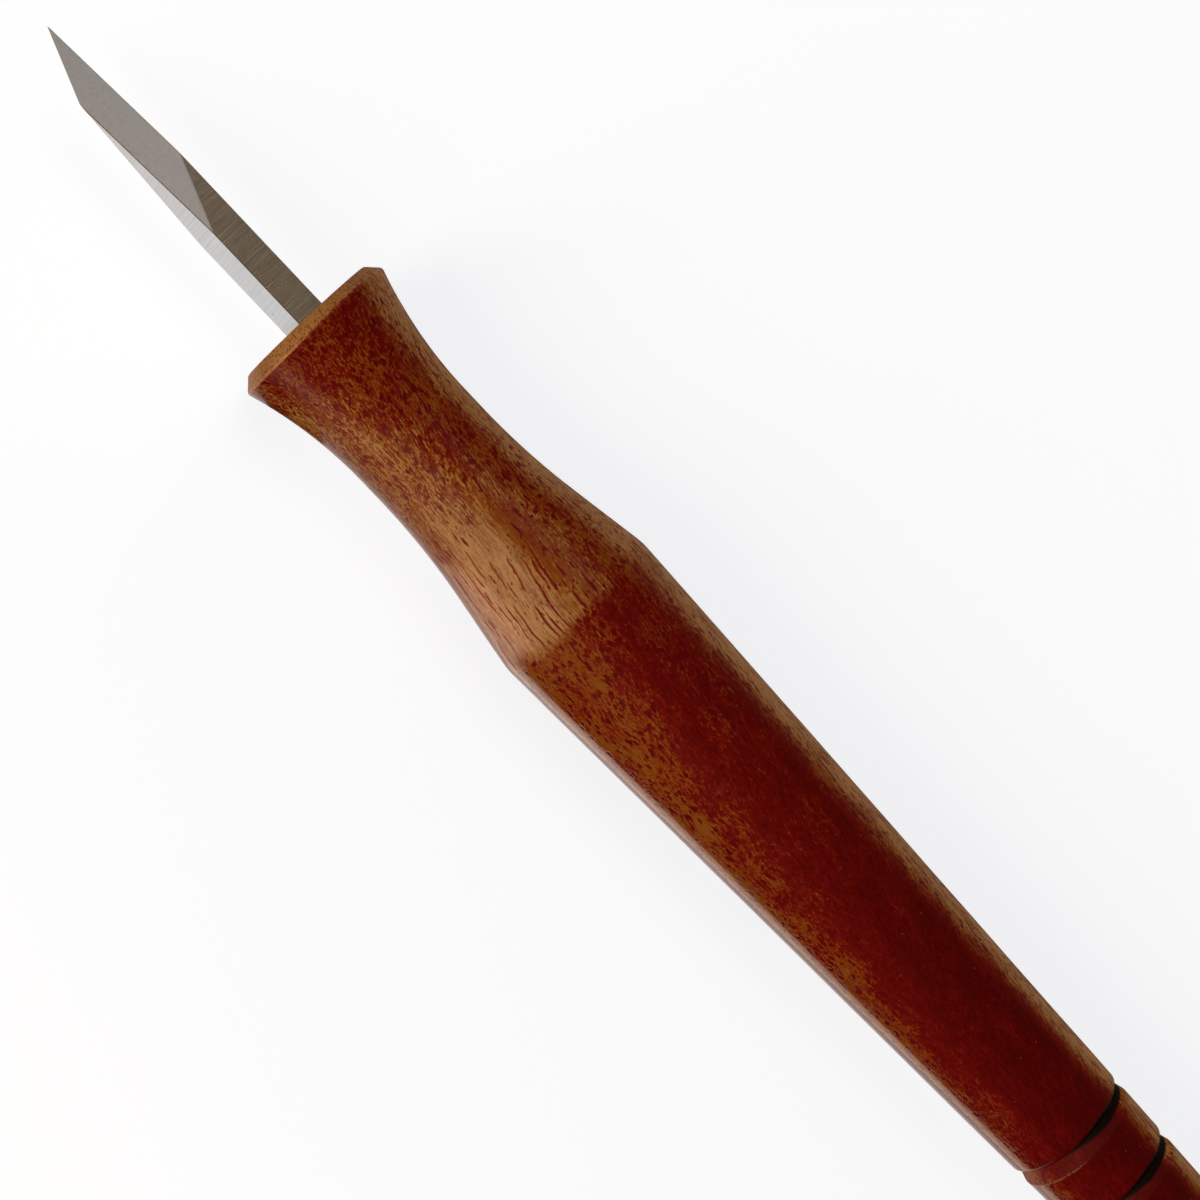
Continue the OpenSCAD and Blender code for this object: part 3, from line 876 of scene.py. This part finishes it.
for name, low, high, shade in DARK_CARDS:
    stock, card_tree = empty_material(name)
    matt = add(card_tree, "ShaderNodeBsdfPrincipled", {"Base Color": linear(shade), "Roughness": 0.9})
    add(card_tree, "ShaderNodeOutputMaterial", {"Surface": matt.outputs[0]})
    dark_card = sheet(name, low, high, DARK_CARD_LEVEL, stock)
    dark_card.visible_camera = dark_card.visible_shadow = dark_card.visible_diffuse = False
print(len(DARK_CARDS), "dark cards on the table")

# %% [markdown]
# A lamp's strength is easiest to judge as the brightness of its face, where 1 is white. Blender asks for watts,
# which are that brightness times the area times pi. The key stands on the near side, level with the blade. The
# ceiling lamp is what the upper bevel mirrors. The far lamp opens up the shadow side and shows in no reflection.
# A dim, warm world stands for the rest of the room.

# %% Lamps
def softbox(name, centre, aim, wide, high, brightness, colour):
    lamp = bpy.data.lights.new(name, "AREA")
    lamp.shape = "RECTANGLE"
    lamp.size, lamp.size_y = wide, high
    lamp.energy = brightness * wide * high * math.pi
    lamp.color = linear(colour)[:3]
    box = bpy.data.objects.new(name, lamp)
    box.location = centre
    box.rotation_euler = (Vector(aim) - Vector(centre)).to_track_quat("-Z", "Y").to_euler()
    box.visible_camera = False
    bpy.context.scene.collection.objects.link(box)
    return box


softbox("key", (-0.189, -0.573, 0.265), (-0.014, 0, 0.008), 0.22, 0.53, 10.5, "#FFF2DC")
softbox("ceiling", (-0.19, 0.054, 0.578), (0, 0, 0.008), 0.35, 0.35, 1.4, "#F2F6FF")
far_lamp = softbox("far", (0.01, 0.55, 0.12), (0.01, 0, 0.008), 0.5, 0.16, 5.6, "#FFF4E4")
far_lamp.visible_glossy = False

world = bpy.data.worlds.new("studio")
world.use_nodes = True
world.node_tree.nodes.clear()
room = add(world.node_tree, "ShaderNodeBackground", {"Color": linear("#7C6748"), "Strength": 0.85})
add(world.node_tree, "ShaderNodeOutputWorld", {"Surface": room.outputs[0]})
bpy.context.scene.world = world
print("lamps:", {lamp.name: round(lamp.energy, 2) for lamp in bpy.data.lights}, "watts")

# %% [markdown]
# Bright cards give a dark object something to mirror. A white sheet would light the wood as well, so these are lamps
# that lie face up on the table and show in reflections alone. They give the pale sheen along the near edge of the
# body and on the back slope of the neck. A dim, cool one lies beside the blade.

# %% Bright cards
BRIGHT_CARD_LEVEL = 0.6 * MM
WARM, COOL = "#FFEBD0", "#A8C4FF"
BRIGHT_CARDS = (  # name, x and y of the centre, width and depth in metres, brightness and colour
    ("strip_card", 0.038, -0.0101, 0.096, 0.0038, 2.0, WARM),
    ("blade_card", -0.064, -0.0075, 0.036, 0.009, 0.12, COOL),
    ("low_card", -0.0155, -0.0108, 0.011, 0.0045, 2.4, WARM),
    ("near_card", -0.016, -0.0165, 0.010, 0.007, 7, WARM),
    ("middle_card", -0.017, -0.027, 0.0095, 0.014, 15, WARM),
    ("far_card", -0.018, -0.0545, 0.010, 0.041, 16, WARM),
    ("last_card", -0.043, -0.165, 0.022, 0.18, 24, WARM),
)

for name, x, y, wide, deep, brightness, colour in BRIGHT_CARDS:
    centre = Vector((x, y, BRIGHT_CARD_LEVEL))
    bright_card = softbox(name, centre, centre + Vector((0, 0, 1)), wide, deep, brightness, colour)
    bright_card.visible_diffuse = False
print(len(BRIGHT_CARDS), "bright cards on the table")

# %% [markdown]
# ## The camera
# The picture was taken from close by, from above and a little in front of the knife, with the knife running from
# top left to bottom right. The camera is placed by a few angles found from the curve of the turned rings.

# %% Camera
LENS, SENSOR = 79.2, 36
LEAN, ROLL, AIM = math.radians(6.8), math.radians(46.59), math.radians(0.482)
VIEW_TURN = math.radians(30)
DISTANCE, BEHIND_FACE = 238.19 * MM, 7.965 * MM

axis = Vector((1, 0, 0))
outward = Vector((0, -math.sin(VIEW_TURN), math.cos(VIEW_TURN)))
beside = outward.cross(axis)
straight = -math.cos(LEAN) * outward + math.sin(LEAN) * axis
look = straight * math.cos(AIM) + beside * math.sin(AIM)
lengthwise = math.cos(LEAN) * axis + math.sin(LEAN) * outward
tall = beside * math.cos(AIM) - straight * math.sin(AIM)
right = lengthwise * math.cos(ROLL) + tall * math.sin(ROLL)
up = tall * math.cos(ROLL) - lengthwise * math.sin(ROLL)
eye = FRONT + axis * BEHIND_FACE + outward * DISTANCE

view = bpy.data.cameras.new("camera")
view.lens, view.sensor_width = LENS, SENSOR
view.clip_start = 0.01
camera = bpy.data.objects.new("camera", view)
camera.matrix_world = Matrix((right, up, -look)).transposed().to_4x4()
camera.location = eye
bpy.context.scene.collection.objects.link(camera)
bpy.context.scene.camera = camera
bpy.context.scene.view_settings.view_transform = "Standard"
print("camera", round(DISTANCE / MM), "mm from the knife's axis")
